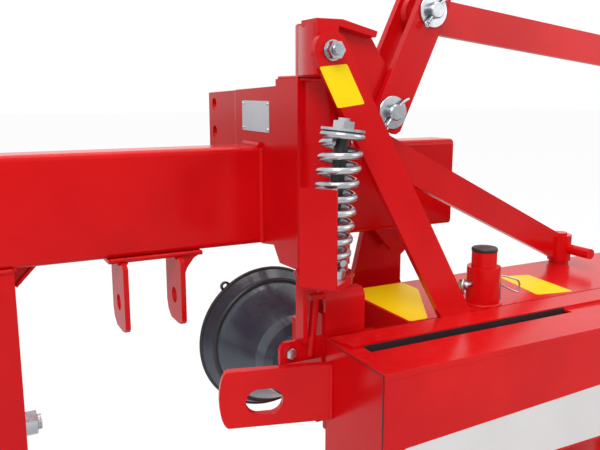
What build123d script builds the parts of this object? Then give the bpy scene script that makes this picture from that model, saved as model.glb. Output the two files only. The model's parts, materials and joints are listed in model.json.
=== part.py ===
"""Three-point mounted rotary drum mower: portal headstock, swinging head with
strut linkage, gear beam with two drums.  Units mm, +X outwards along the cutting
unit, +Y forward to the tractor, +Z up.  The shapes are drawn in a shop frame
(swing post axis at x = y = 0, underside of the cross beam at z = 0) and moved
once, at export, so that the row's origin is the centre of the input shaft's end.
"""
import math
import os

from build123d import *

os.makedirs("parts", exist_ok=True)

# driving dimensions
BEAM_H, BEAM_W, BEAM_T = 140.0, 60.0, 6.0
BEAM_X0, BEAM_X1, BEAM_Y0 = -436.0, 302.0, 110.0
BEAM_Y1 = BEAM_Y0 + BEAM_W
LEG_X0, LEG_X1 = -436.0, -376.0
HITCH_Z, HITCH_Y = -218.0, 140.0
RIGHT_OUT = 247.0
HITCH_D, NUT_AF = 22.0, 30.0
POST_R, PIVOT_R, FIT, MAST_T = 32.0, 25.0, 0.05, 8.0
COLLAR_R = 38.0
SHAFT_Z = -171.0
SHAFT_END_Y = 150.0
DECK_X0 = 98.0
DECK_Y0, DECK_Y1 = -60.0, 112.0
DECK_TOP, DECK_H, DECK_T = -90.0, 110.0, 5.0
BOX_X0, BOX_X1 = -32.0, 620.0
BOX_Y0, BOX_Y1, BOX_BOT = -195.0, -63.0, -250.0
DRUM_Y = 26.0
DRUM_TOP, DRUM_BOT, DRUM_R = -268.0, -592.0, 185.0
DISC_R, DISC_T, DISC_GAP = 405.0, 6.0, 20.0
DRUM_X = (330.0, 330.0 + 2 * DISC_R + DISC_GAP)
DECK_X1 = DRUM_X[1] + 205.0
DISH_R, FLOOR_Z = 260.0, -690.0
BAR_W, BAR_T = 45.0, 10.0
STAY_Y = -67.0
LEVER_LO, LEVER_UP = (62.0, 190.0), (120.0, 315.0)
STAY_TOP, STAY_R = (-32.0, 262.5), 6.0
SPRING_R, ROD_R, RING_R = 26.5, 7.0, 22.0
TUBE_X, TUBE_Y, TUBE_R, SOCKET_R = 247.0, -36.0, 18.1, 24.15
TOWER_X, TOWER_TOP, TOWER_T, TOWER_FOOT = 985.0, 250.0, 8.0, 95.0
OFFSET = Vector(0, -SHAFT_END_Y, -SHAFT_Z)


# helpers
ALONG_X = Rot(0, 0, 90) * Rot(90, 0, 0)


def box(x0, x1, y0, y1, z0, z1):
    return Pos((x0 + x1) / 2, (y0 + y1) / 2, (z0 + z1) / 2) * Box(x1 - x0, y1 - y0, z1 - z0)


def cyl_z(x, y, z0, z1, r):
    return Pos(x, y, (z0 + z1) / 2) * Cylinder(r, z1 - z0)


def cyl_y(x, z, y0, y1, r):
    return Pos(x, (y0 + y1) / 2, z) * Rot(90, 0, 0) * Cylinder(r, y1 - y0)


def cyl_x(y, z, x0, x1, r):
    return Pos((x0 + x1) / 2, y, z) * Rot(0, 90, 0) * Cylinder(r, x1 - x0)


def slab_xz(points, y0, y1):
    """Outline in the XZ plane, between y0 and y1."""
    face = make_face(Polyline(*[(x, z) for x, z in points], close=True))
    solid = extrude(face, amount=y1 - y0, dir=(0, 0, 1))
    return Pos(0, y1, 0) * Rot(90, 0, 0) * solid


def slab_yz(points, x0, x1):
    """Outline in the YZ plane, between x0 and x1."""
    face = make_face(Polyline(*[(y, z) for y, z in points], close=True))
    solid = extrude(face, amount=x1 - x0, dir=(0, 0, 1))
    return Pos(x0, 0, 0) * ALONG_X * solid


def slab_xy(points, z0, z1):
    """Outline in the XY plane, between z0 and z1."""
    face = make_face(Polyline(*[(x, y) for x, y in points], close=True))
    return Pos(0, 0, z0) * extrude(face, amount=z1 - z0, dir=(0, 0, 1))


def turned(points, x, y, z=0.0):
    """(radius, z) outline turned about the vertical through x, y."""
    face = make_face(Polyline(*[(r, h) for r, h in points], close=True))
    solid = revolve(Rot(90, 0, 0) * face, Axis.Z)
    return Pos(x, y, z) * solid


def bar_between(a, b, y0, y1, width, end_a=0.0, end_b=0.0, round_a=True, round_b=True):
    """Flat bar lying in the XZ plane from a to b, square or round ended."""
    dx, dz = b[0] - a[0], b[1] - a[1]
    length = math.hypot(dx, dz)
    ux, uz = dx / length, dz / length
    ax, az = a[0] - ux * end_a, a[1] - uz * end_a
    bx, bz = b[0] + ux * end_b, b[1] + uz * end_b
    nx, nz = -uz * width / 2, ux * width / 2
    body = slab_xz([(ax + nx, az + nz), (bx + nx, bz + nz), (bx - nx, bz - nz), (ax - nx, az - nz)], y0, y1)
    if round_a:
        body += cyl_y(ax, az, y0, y1, width / 2)
    if round_b:
        body += cyl_y(bx, bz, y0, y1, width / 2)
    return body


def hexagon(af, thick):
    return extrude(RegularPolygon(af / math.sqrt(3), 6), amount=thick)


PARTS = {}


def keep(name, shape):
    PARTS[name] = shape


# headstock
section = RectangleRounded(BEAM_W, BEAM_H, 8)
section -= RectangleRounded(BEAM_W - 2 * BEAM_T, BEAM_H - 2 * BEAM_T, 3)
beam = extrude(section, amount=BEAM_X1 - BEAM_X0 - 8)
beam = Pos(BEAM_X0 + 4, BEAM_Y0 + BEAM_W / 2, BEAM_H / 2) * ALONG_X * beam
plug = RectangleRounded(BEAM_W, BEAM_H, 8) - Circle(6)
for x0 in (BEAM_X0, BEAM_X1 - 4):
    beam += Pos(x0, BEAM_Y0 + BEAM_W / 2, BEAM_H / 2) * ALONG_X * extrude(plug, amount=4)
keep("cross_beam", beam)

leg = box(LEG_X0, LEG_X1, BEAM_Y0, BEAM_Y0 + BEAM_W, HITCH_Z - 52, 0)
leg -= box(LEG_X0 + 6, LEG_X1 - 6, BEAM_Y0 + 6, BEAM_Y0 + BEAM_W - 6, HITCH_Z - 60, -8)
leg += slab_xz([(LEG_X1, 0), (LEG_X1 + 26, 0), (LEG_X1, -26)], BEAM_Y0 + 20, BEAM_Y0 + 30)
leg -= cyl_x(HITCH_Y, HITCH_Z, LEG_X0 - 5, LEG_X1 + 5, 10.05)
keep("left_leg", leg)

RIGHT_LEG = [(165, 0), (302, 0), (270, -30), (238, -56), (238, -100), (RIGHT_OUT, -120), (RIGHT_OUT, -262),
             (RIGHT_OUT - 60, -262), (RIGHT_OUT - 60, -150), (166, -118), (142, -95)]
leg = slab_xz(RIGHT_LEG, BEAM_Y1 - 12, BEAM_Y1)
leg += slab_xz([(168, 0), (203, 0), (214, -32), (203, -41)], BEAM_Y1 - 32, BEAM_Y1 - 24)
leg += box(184, 192, BEAM_Y1 - 32, BEAM_Y1 - 12, -20, 0)
leg += box(RIGHT_OUT - 8, RIGHT_OUT, 118, BEAM_Y1 - 10, -262, -140)
leg += box(RIGHT_OUT - 60, RIGHT_OUT - 52, 128, BEAM_Y1 - 10, -262, -175)
leg -= cyl_x(HITCH_Y, HITCH_Z, RIGHT_OUT - 66, RIGHT_OUT + 5, 10.05)
keep("right_leg", leg)


def hitch_pin(x_face, side, x_in):
    """Shouldered pin; the nut is on the leg's inner side."""
    tip = x_face + side * 62
    lo, hi = sorted((x_face, tip))
    pin = cyl_x(HITCH_Y, HITCH_Z, lo, hi, HITCH_D / 2)
    a, b = sorted((x_face, x_face + side * 7))
    pin += cyl_x(HITCH_Y, HITCH_Z, a, b, 19)
    a, b = sorted((x_face, x_in - side * 22))
    pin += cyl_x(HITCH_Y, HITCH_Z, a, b, 10)
    a = min(x_in, x_in - side * 16)
    pin += Pos(a, HITCH_Y, HITCH_Z) * Rot(0, 90, 0) * hexagon(NUT_AF, 16)
    pin -= cyl_z(x_face + side * 51, HITCH_Y, HITCH_Z - 20, HITCH_Z + 20, 5.5)
    return pin


keep("hitch_pin_left", hitch_pin(LEG_X0, -1, LEG_X1))
keep("hitch_pin_right", hitch_pin(RIGHT_OUT, 1, RIGHT_OUT - 60))

# mast plates: joggled so that the top-link end is 52 mm inside
MAST = [(0, 232), (64, 232), (64, 223), (338, 214), (338, 120), (240, 62), (172, 46), (172, -0.2),
        (110, -0.2), (73, 5), (54, -17), (0, -15)]
LINK_HOLES = ((313.0, 151.0), (313.0, 196.0))
for name, side in (("mast_plate_left", -1), ("mast_plate_right", 1)):
    x_in, x_far = POST_R * side, (POST_R - 6) * side
    x_out, x_far_out = x_in + MAST_T * side, x_far + MAST_T * side
    plan = [(x_in, -1), (x_in, 205), (x_far, 225), (x_far, 340), (x_far_out, 340), (x_far_out, 225),
            (x_out, 205), (x_out, -1)]
    plate = slab_xy(plan, -40, 260) & slab_yz(MAST, -60, 60)
    plate -= box(-60, 60, BEAM_Y0, BEAM_Y0 + BEAM_W, 0, BEAM_H)
    for y, z in LINK_HOLES:
        plate -= cyl_x(y, z, -60, 60, 9.75)
    keep(name, plate)

post = cyl_z(0, 0, -18, 236, POST_R) + cyl_z(0, 0, -80, 293, PIVOT_R)
keep("swing_post", post)

LUG_X, LUG_T, LUG_HOLE = (-247.0, -170.0), 7.0, (124.0, -63.0)
LUG = [(92, -11), (104, -4), (160, -4), (160, -78), (155, -91), (142, -100), (108, -100), (97, -98),
       (92, -93)]
lugs = box(-262, -134, 104, 168, -5, 0)
for x in LUG_X:
    lugs += slab_yz(LUG, x, x + LUG_T) - cyl_x(*LUG_HOLE, x - 5, x + 30, 11.25)
lugs += slab_xz([(-163.5, -4), (-137, -4), (-146, -9), (-156, -22), (-163.5, -42)], 106, 114)
keep("clevis_lugs", lugs)

# swing head and hinge block
CHEEK = [(-42, 292), (34, 285), (59, 248), (84, 204), (84, 176), (62, 168), (44, 178), (36, 241),
         (-42, 243)]
head = cyl_z(0, 0, 236.3, 291, COLLAR_R)
for y0 in (-48.0, -22.0):
    head += slab_xz(CHEEK, y0, y0 + 8)
head += slab_xz([(-47, 292), (-47, 299), (-12, 299), (37, 287), (35, 280), (-16, 291)], -62, -24)
head += box(-47, -17, -62, -40, 240, 294)
head -= cyl_z(0, 0, 230, 305, PIVOT_R + FIT)
head -= cyl_y(*LEVER_LO, -70, 0, 10.05)
head -= cyl_y(*STAY_TOP, -80, -30, STAY_R + FIT)
keep("swing_head", head)

block = cyl_z(0, 0, -76, -23, COLLAR_R)
block += box(-30, 30, -36, 36, -216, -90)
block += slab_yz([(-60, -215), (-60, -42), (-58, -37), (-52, -32), (-36, -32), (-36, -38), (-49, -38),
                  (-53, -41), (-54, -46), (-54, -215)], -31, 27)
block += box(-34, -27, -55, -34, -186, -60)
block += slab_xz([(-92, -118), (-92, -99), (-90, -94), (-85, -90), (-27, -90), (-27, -118)], -54, -48)
block += Pos(-45.5, -51, -76.5) * Rot(0, 5.3, 0) * Cylinder(6, 75) + box(-50, -28, -57, -45, -40, -34)
block += cyl_y(0, SHAFT_Z, -60, 66, 40)
block += cyl_x(DRUM_Y, -150, 25, DECK_X0 + 24, 26)
block -= cyl_y(0, SHAFT_Z, -120, 80, 25)
block -= cyl_z(0, 0, -82, -10, PIVOT_R + FIT)
keep("hinge_block", block)

stay = bar_between(STAY_TOP, (175, -97), STAY_Y - BAR_T / 2, STAY_Y + BAR_T / 2, BAR_W, 0, 0, True, False)
stay &= box(-100, 300, -90, 0, -89.9, 320)
stay -= cyl_y(*STAY_TOP, -90, -40, STAY_R + FIT)
keep("stay_bar", stay)

bolt = cyl_y(*STAY_TOP, -90, -39.5, STAY_R)
bolt += Pos(STAY_TOP[0], -75, STAY_TOP[1]) * Rot(90, 0, 0) * hexagon(19, 10)
bolt += cyl_y(*STAY_TOP, -75, -72, 2 * STAY_R)
keep("stay_bolt", bolt)

# lever pair, long link, diagonal arm
for name, y0 in (("lever_rear", -60.0), ("lever_front", -12.0)):
    bar = bar_between(LEVER_LO, LEVER_UP, y0, y0 + BAR_T, BAR_W, 0, 14)
    for x, z in (LEVER_LO, LEVER_UP):
        bar -= cyl_y(x, z, -70, 20, 10.05)
    keep(name, bar)
for name, (x, z) in (("lever_pin_lower", LEVER_LO), ("lever_pin_upper", LEVER_UP)):
    pin = cyl_y(x, z, -74, 10, 10) + cyl_y(x, z, -63, -60, 16) + cyl_y(x, z, -2, 6, 15)
    pin -= cyl_x(-70, z, x - 20, x + 20, 2.6)
    keep(name, pin)

LINK_END = (TOWER_X, 232.0, 30.0)
LINK_PIN = LINK_END[:2]
AIM = math.degrees(math.atan2(LINK_END[2] + 27, LINK_END[0] - LEVER_UP[0]))
reach = math.hypot(LINK_END[2] + 27, LINK_END[0] - LEVER_UP[0])
link = bar_between((0, 0), (reach, LINK_END[1] - LEVER_UP[1]), -5, 5, BAR_W, 0, 0)
link = Pos(LEVER_UP[0], -27, LEVER_UP[1]) * Rot(0, 0, AIM) * link
link -= cyl_y(LEVER_UP[0], LEVER_UP[1], -60, 0, 10.05)
link -= cyl_y(*LINK_PIN, 0, 60, 10.05)
keep("long_link", link)

ARM_A, BOSS = (62.0, 143.0), (542.0, 93.0)
aim = math.degrees(math.atan2(BOSS[1] + 27, BOSS[0] - ARM_A[0]))
span = math.hypot(BOSS[1] + 27, BOSS[0] - ARM_A[0])
arm = bar_between((0, 0), (span - 16, -200), -5, 5, BAR_W, 0, 0, True, False)
arm = Pos(ARM_A[0], -27, ARM_A[1]) * Rot(0, 0, aim) * arm
arm += cyl_z(BOSS[0], BOSS[1], -84, -38, 20) + cyl_y(BOSS[0] + 4, -62, BOSS[1] - 66, BOSS[1], 9)
arm -= cyl_z(BOSS[0], BOSS[1], -90, -30, 12)
arm += box(50, 74, -32, -22, 140, 172)
arm += cyl_y(LEVER_LO[0], LEVER_LO[1], -39.5, -22.5, 22)
arm -= cyl_y(LEVER_LO[0], LEVER_LO[1], -70, 20, 10.05)
keep("diagonal_arm", arm)

# relief spring
SP_TOP, SP_BOT = Vector(-31.5, -98, 171), Vector(-51, -98, 12)
axis = (SP_TOP - SP_BOT)
lean = math.degrees(math.atan2(axis.X, axis.Z))
def on_spring(shape, height):
    return Pos(SP_BOT.X, SP_BOT.Y, SP_BOT.Z) * Rot(0, lean, 0) * Pos(0, 0, height) * shape
long = axis.length
rod = on_spring(Cylinder(ROD_R, long + 39), (long - 9) / 2)
rod += on_spring(Cylinder(SPRING_R - 0.5, 3), long + 1.5) + on_spring(Cylinder(RING_R, 14), -7)
rod += on_spring(hexagon(24, 8.5), long + 3)
keep("spring_rod", rod)
coil = on_spring(Cylinder(SPRING_R, long) - Cylinder(SPRING_R - 8.5, long + 1), long / 2)
keep("relief_spring", coil)
guard = slab_xy([(-88.2, -102.7), (-59.3, -136), (-63.1, -139.3), (-92, -106)], -4, 110)
guard += slab_xy([(-89.5, -104.2), (-60.6, -137.5), (-30, -116), (-26, -64), (-56, -46), (-66, -46)], -7, 0)
guard += box(-66, -60, -66, -46, -90, -3)
guard -= on_spring(Cylinder(RING_R + 0.5, 20), -4)
guard -= on_spring(Cylinder(ROD_R + FIT, 60), -10)
keep("spring_guard", guard)

# input shaft and its bell guard
shaft = cyl_y(0, SHAFT_Z, -58, 66, 24.95) + cyl_y(0, SHAFT_Z, 66, SHAFT_END_Y, 17.4)
keep("input_shaft", shaft)
BELL_OUT = [(40.1, 54), (46, 54), (46, 66), (58, 72), (62, 92), (92, 150), (96, 160), (104, 172), (111, 182)]
BELL_IN = [(113, 186), (111, 188), (107, 184), (100, 174), (91, 163), (87, 152), (57, 95), (52, 77), (43, 71),
           (40.1, 66)]
bell = make_face(Polyline(*[(r, h) for r, h in BELL_OUT + BELL_IN], close=True))
bell = revolve(Rot(90, 0, 0) * bell, Axis.Z)
bell = Pos(0, 0, SHAFT_Z) * Rot(-90, 0, 0) * bell
ear = Pos(0, 186, SHAFT_Z) * Rot(0, -37.5, 0) * (cyl_y(0, 115, -2.5, 2.5, 8) - cyl_y(0, 116.5, -5, 5, 3.8))
bell += ear
keep("input_guard", bell)

# deck, gear beam, rear box
deck = box(DECK_X0, DECK_X1, DECK_Y0, DECK_Y1, DECK_TOP - DECK_H, DECK_TOP)
deck -= box(DECK_X0 + DECK_T, DECK_X1 - DECK_T, DECK_Y0 + DECK_T, DECK_Y1 - DECK_T,
            DECK_TOP - DECK_H - 5, DECK_TOP - DECK_T)
deck -= cyl_x(DRUM_Y, -150, DECK_X0 - 10, DECK_X0 + 10, 26)
deck += cyl_z(BOSS[0], BOSS[1], DECK_TOP - 3, -34, 11.95) + cyl_z(BOSS[0], BOSS[1], DECK_TOP - 3, -84, 17)
keep("deck_cover", deck)

beam = box(DECK_X0 + 24, DECK_X1 - 20, DRUM_Y - 55, DRUM_Y + 55, -192, DECK_TOP - DECK_T)
for x in DRUM_X:
    beam += cyl_z(x, DRUM_Y, -262, -190, 70)
beam -= box(DECK_X0, DECK_X1 - 30, DRUM_Y - 45, DRUM_Y + 45, -182, DECK_TOP - DECK_T - 10)
for x in DRUM_X:
    beam -= cyl_z(x, DRUM_Y, -300, -186, 30)
keep("gear_beam", beam)

shell = box(BOX_X0, BOX_X1, BOX_Y0, BOX_Y1, BOX_BOT, DECK_TOP)
shell -= box(BOX_X0 + 3, BOX_X1 - 3, BOX_Y0 + 3, BOX_Y1 - 3, BOX_BOT - 5, DECK_TOP - 3)
shell -= box(-7, 330, -129, -113, DECK_TOP - 10, DECK_TOP + 5)
LIP = [(-31.5, -72.05), (BOX_X1, -72.05), (BOX_X1, -113), (-22.6, -113)]
shell += slab_xy(LIP, DECK_TOP - 1, DECK_TOP + 4)
shell += box(BOX_X0 + 40, BOX_X1 - 20, BOX_Y1, DECK_Y0, -180, -110)
keep("rear_box", shell)

# guard post in its socket
socket = cyl_z(TUBE_X, TUBE_Y, DECK_TOP, -34, SOCKET_R)
socket -= cyl_z(TUBE_X, TUBE_Y, DECK_TOP - 1, -10, TUBE_R + FIT)
socket += cyl_z(TUBE_X, TUBE_Y, DECK_TOP, DECK_TOP + 4, TUBE_R + FIT)
socket -= cyl_x(TUBE_Y, -58, TUBE_X - 60, TUBE_X + 60, 5.2)
keep("guard_socket", socket)
tube = cyl_z(TUBE_X, TUBE_Y, DECK_TOP + 4, -12, TUBE_R)
tube -= cyl_z(TUBE_X, TUBE_Y, DECK_TOP - 1, -17, TUBE_R - 3.2)
tube -= cyl_x(TUBE_Y, -58, TUBE_X - 60, TUBE_X + 60, 5.2)
keep("guard_post", tube)

# outer tower
TOWER = [(TOWER_X - TOWER_FOOT + 10, DECK_TOP), (TOWER_X + TOWER_FOOT - 10, DECK_TOP),
         (TOWER_X + 25, TOWER_TOP), (TOWER_X - 25, TOWER_TOP)]
tower = box(TOWER_X - 25, TOWER_X - 17, LINK_END[2] - 16, LINK_END[2] + 16, 60, 200)
for y0 in (LINK_END[2] - 16, LINK_END[2] + 16 - TOWER_T):
    tower += slab_xz(TOWER, y0, y0 + TOWER_T)
tower += box(TOWER_X - TOWER_FOOT, TOWER_X + TOWER_FOOT, -10, 70, DECK_TOP, DECK_TOP + TOWER_T)
tower -= cyl_y(*LINK_PIN, 0, 60, 10.05)
keep("outer_tower", tower)
pin = cyl_y(*LINK_PIN, 2, 58, 10) + cyl_y(*LINK_PIN, 2, LINK_END[2] - 16, 16) + cyl_y(*LINK_PIN, 50, 54, 18)
keep("tower_pin", pin)

# drums, discs, knives, skid dishes
RIB_T, KNIVES, RIBS = 12.0, 3, 4
DRUM_WALL, SHAFT_TOP, SHAFT_FOOT, AXLE_R = 6.0, -228.0, -640.0, 29.95
KNIFE_L, KNIFE_W, KNIFE_T, PIN_IN = 102.0, 44.0, 4.0, 40.0


def around(x, angle, shape):
    """Places a shape that was drawn on the drum's own axis."""
    return Pos(x, DRUM_Y, 0) * Rot(0, 0, angle) * shape


for name, x, first in (("left", DRUM_X[0], 30), ("right", DRUM_X[1], 90)):
    keep("drum_shaft_" + name, cyl_z(x, DRUM_Y, SHAFT_FOOT, SHAFT_TOP, AXLE_R))
    inner = DRUM_R - DRUM_WALL
    profile = [(AXLE_R, DRUM_TOP), (DRUM_R - 10, DRUM_TOP), (DRUM_R, DRUM_TOP - 10), (DRUM_R, DRUM_BOT + 50),
               (inner, DRUM_BOT + 50), (inner, DRUM_TOP - 14), (AXLE_R, DRUM_TOP - 14)]
    drum = turned(profile, x, DRUM_Y)
    for k in range(RIBS):
        rib = box(DRUM_R - 2, DRUM_R + 12, -RIB_T / 2, RIB_T / 2, DRUM_BOT + 70, DRUM_TOP - 60)
        drum += around(x, 90 * k + 20, rib)
    keep("drum_" + name, drum)
    profile = [(AXLE_R, DRUM_BOT + 50), (DRUM_R, DRUM_BOT + 50), (DRUM_R + 40, DRUM_BOT + 14),
               (DISC_R - 20, DRUM_BOT + 2), (DISC_R, DRUM_BOT - 8), (DISC_R, DRUM_BOT - 8 - DISC_T),
               (DISC_R - 20, DRUM_BOT - DISC_T), (DRUM_R + 34, DRUM_BOT + 6), (inner, DRUM_BOT + 42),
               (AXLE_R, DRUM_BOT + 42)]
    disc = turned(profile, x, DRUM_Y)
    for k in range(KNIVES):
        disc += around(x, 120 * k + first, cyl_z(DISC_R - PIN_IN, 0, DRUM_BOT - 14, DRUM_BOT - 1, 14))
    keep("disc_" + name, disc)
    for k in range(KNIVES):
        knife = box(DISC_R - 60, DISC_R - 60 + KNIFE_L, -KNIFE_W / 2, KNIFE_W / 2,
                    DRUM_BOT - 18 - KNIFE_T, DRUM_BOT - 18)
        knife += cyl_z(DISC_R - PIN_IN, 0, DRUM_BOT - 26, DRUM_BOT - 14, 9)
        keep(f"knife_{name}_{'abc'[k]}", around(x, 120 * k + first, knife))
    dish = [(AXLE_R + 0.1, -618), (50, -618), (50, -684), (176, -684), (DISH_R - 36, -656),
            (DISH_R - 6, -626), (DISH_R, -626), (DISH_R - 30, -662), (180, FLOOR_Z), (0, FLOOR_Z),
            (0, SHAFT_FOOT - 2), (AXLE_R + 0.1, SHAFT_FOOT - 2)]
    keep("skid_dish_" + name, turned(dish, x, DRUM_Y))

# eye plate
EYE_AIM, EYE_C, EYE_R, EYE_T = -15.7, (-82.0, -160.0), 16.5, 12.0
EYE = [(14, -192), (-118, -192), (-130, -186), (-138, -172), (-138, -140), (-130, -125), (-116, -118),
       (14, -118)]
eye = slab_xz(EYE, 0, EYE_T)
for x in (-6.5, 6.5):
    eye -= cyl_y(EYE_C[0] + x, EYE_C[1], -5, 20, EYE_R)
eye -= box(EYE_C[0] - 6.5, EYE_C[0] + 6.5, -5, 20, EYE_C[1] - EYE_R, EYE_C[1] + EYE_R)
eye = Pos(-36, -80, 0) * Rot(0, 0, EYE_AIM) * eye
eye &= box(-220, BOX_X0, -120, 0, -200, -100)
keep("eye_plate", eye)

if __name__ == "__main__":
    for name, shape in PARTS.items():
        export_step(Pos(*OFFSET) * shape, f"parts/{name}.step")
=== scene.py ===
"""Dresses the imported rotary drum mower: finishes, coil spring, fasteners, welds and blank plates.

Lengths in the tables are millimetres from the swing axis at the cross beam's underside. at() turns
them into metres in the part's own frame: +X outwards along the cutting unit, +Y forward to the
tractor, +Z up, origin at the free end of the input shaft.
"""

import json
import logging
import math
from dataclasses import dataclass, field
from enum import Enum
from typing import Any, Iterable, Sequence

import bpy
import bmesh
from mathutils import Matrix, Vector

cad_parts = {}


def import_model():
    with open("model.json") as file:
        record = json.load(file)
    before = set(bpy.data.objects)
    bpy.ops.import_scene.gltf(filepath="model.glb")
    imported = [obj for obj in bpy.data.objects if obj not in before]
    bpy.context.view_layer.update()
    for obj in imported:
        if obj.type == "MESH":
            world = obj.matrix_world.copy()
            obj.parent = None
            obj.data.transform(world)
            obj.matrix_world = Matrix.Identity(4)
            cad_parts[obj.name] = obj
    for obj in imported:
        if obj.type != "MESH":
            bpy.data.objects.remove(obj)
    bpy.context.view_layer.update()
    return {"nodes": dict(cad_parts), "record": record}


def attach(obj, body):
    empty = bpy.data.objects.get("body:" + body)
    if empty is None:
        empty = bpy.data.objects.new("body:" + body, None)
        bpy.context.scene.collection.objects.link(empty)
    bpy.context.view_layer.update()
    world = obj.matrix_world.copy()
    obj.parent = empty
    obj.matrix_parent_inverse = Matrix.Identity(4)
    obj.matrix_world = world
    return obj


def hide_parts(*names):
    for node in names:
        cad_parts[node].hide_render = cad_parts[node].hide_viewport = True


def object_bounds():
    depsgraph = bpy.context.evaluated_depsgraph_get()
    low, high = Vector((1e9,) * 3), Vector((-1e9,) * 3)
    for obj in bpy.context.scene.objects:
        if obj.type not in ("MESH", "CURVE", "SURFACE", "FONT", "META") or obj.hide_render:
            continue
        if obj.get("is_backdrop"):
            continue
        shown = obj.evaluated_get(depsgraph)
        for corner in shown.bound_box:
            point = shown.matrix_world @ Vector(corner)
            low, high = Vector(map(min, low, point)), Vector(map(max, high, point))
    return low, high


LOG = logging.getLogger("mower")
MM = 0.001
ALONG_X, ALONG_Y, UP = Vector((1, 0, 0)), Vector((0, 1, 0)), Vector((0, 0, 1))

SHAFT_Z = -171.0
SHAFT_END = Vector((0.0, 150.0, SHAFT_Z))
DECK_TOP = -90.0
BOX_NEAR = -195.0
BOX_BOTTOM = -250.0
DRUMS_X, DRUM_Y = (330.0, 1160.0), 26.0
SOCKET = (247.0, -36.0)
LEVER_PINS = {"lower": (62.0, 190.0), "upper": (120.0, 315.0)}

Colour = tuple[float, float, float, float]
Pair = tuple[float, float]
Point = tuple[float, float, float]


def at(x: float, y: float, z: float) -> Vector:
    """A place from the tables, in the row's metres."""
    return (Vector((x, y, z)) - SHAFT_END) * MM


class Body(Enum):
    """The rigid bodies that dressed pieces ride on."""

    HEAD = "headstock"
    UNIT = "cutting_unit"
    POST = "guard_post"
    SHAFT = "input_shaft"
    DRUM_LEFT = "drum_left_rotor"
    DRUM_RIGHT = "drum_right_rotor"


class Slot(Enum):
    """The record's material slots."""

    PAINT = "red_paint"
    ZINC = "zinc"
    STEEL = "bare_steel"
    DISH = "dish_steel"
    PLASTIC = "bell_plastic"


# node trees


class Signal:
    """One output socket, with the arithmetic that the node trees need."""

    def __init__(self, graph: "Graph", socket: bpy.types.NodeSocket) -> None:
        """Keeps the socket and the graph that it belongs to."""
        self.graph = graph
        self.socket = socket

    def _math(self, operation: str, *values: Any) -> "Signal":
        """Adds one Math node and returns its output."""
        return self.graph.node("ShaderNodeMath", {"operation": operation}, dict(enumerate(values)))

    def __add__(self, other: Any) -> "Signal":
        """Sum of two signals."""
        return self._math("ADD", self, other)

    __radd__ = __add__

    def __sub__(self, other: Any) -> "Signal":
        """This signal less another."""
        return self._math("SUBTRACT", self, other)

    def __rsub__(self, other: Any) -> "Signal":
        """Another value less this signal."""
        return self._math("SUBTRACT", other, self)

    def __mul__(self, other: Any) -> "Signal":
        """Product of two signals."""
        return self._math("MULTIPLY", self, other)

    __rmul__ = __mul__

    def larger(self, other: Any) -> "Signal":
        """The larger of two signals."""
        return self._math("MAXIMUM", self, other)

    def ramp(self, low: float, high: float) -> "Signal":
        """Fades from 0 at low to 1 at high, smoothly."""
        return self.graph.node("ShaderNodeMapRange", {"interpolation_type": "SMOOTHSTEP"},
                               {0: self, 1: low, 2: high, 3: 0.0, 4: 1.0})


class Graph:
    """Builds the nodes of a shader or geometry tree."""

    def __init__(self, tree: bpy.types.NodeTree) -> None:
        """Starts on an empty tree."""
        self.tree = tree
        tree.nodes.clear()

    def node(self, kind: str, settings: dict[str, Any] | None = None,
             inputs: dict[Any, Any] | None = None, out: Any = 0) -> Signal:
        """Adds a node.

        Args:
            kind: the node's type.
            settings: properties, set before the inputs.
            inputs: values or links of the sockets, by name or place; a list joins several links.
            out: name or place of the output to return.

        Returns:
            The chosen output, or the first input of a node that has no output.
        """
        made = self.tree.nodes.new(kind)
        for name, value in (settings or {}).items():
            setattr(made, name, value)
        for key, value in (inputs or {}).items():
            if isinstance(value, Signal):
                self.tree.links.new(value.socket, made.inputs[key])
            elif isinstance(value, list):
                for part in reversed(value):
                    self.tree.links.new(part.socket, made.inputs[key])
            else:
                made.inputs[key].default_value = value
        return Signal(self, made.outputs[out] if len(made.outputs) else made.inputs[0])

    def noise(self, coords: Signal, scale: float, detail: float = 3.0, rough: float = 0.5) -> Signal:
        """Noise from 0 to 1, with so many patches per metre and so many octaves of finer detail."""
        return self.node("ShaderNodeTexNoise", None,
                         {"Vector": coords, "Scale": scale, "Detail": detail, "Roughness": rough}, "Fac")

    def blend(self, factor: Any, first: Any, second: Any) -> Signal:
        """Mixes two colours; the factor is the second one's share."""
        return self.node("ShaderNodeMix", {"data_type": "RGBA", "clamp_factor": True},
                         {0: factor, 6: first, 7: second}, 2)


# finishes


def solid(r: float, g: float, b: float) -> Colour:
    """An opaque colour."""
    return (r, g, b, 1.0)


@dataclass
class Surface:
    """What a finish has worked out so far, with object coordinates in metres."""

    graph: Graph
    coords: Signal
    colour: Signal
    rough: Signal

    def stain(self, share: Signal, colour: Colour, roughen: float = 0.0) -> None:
        """Lays a second colour over part of the surface.

        Args:
            share: how much of it shows, from 0 to 1.
            colour: the second colour.
            roughen: what it adds to the roughness where it shows in full.
        """
        self.colour = self.graph.blend(share, self.colour, colour)
        if roughen:
            self.rough = self.rough + share * roughen

    def stretched(self, scale: Point) -> Signal:
        """Coordinates scaled by a different amount along each axis."""
        return self.graph.node("ShaderNodeMapping", None, {"Vector": self.coords, "Scale": scale}, "Vector")


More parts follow.
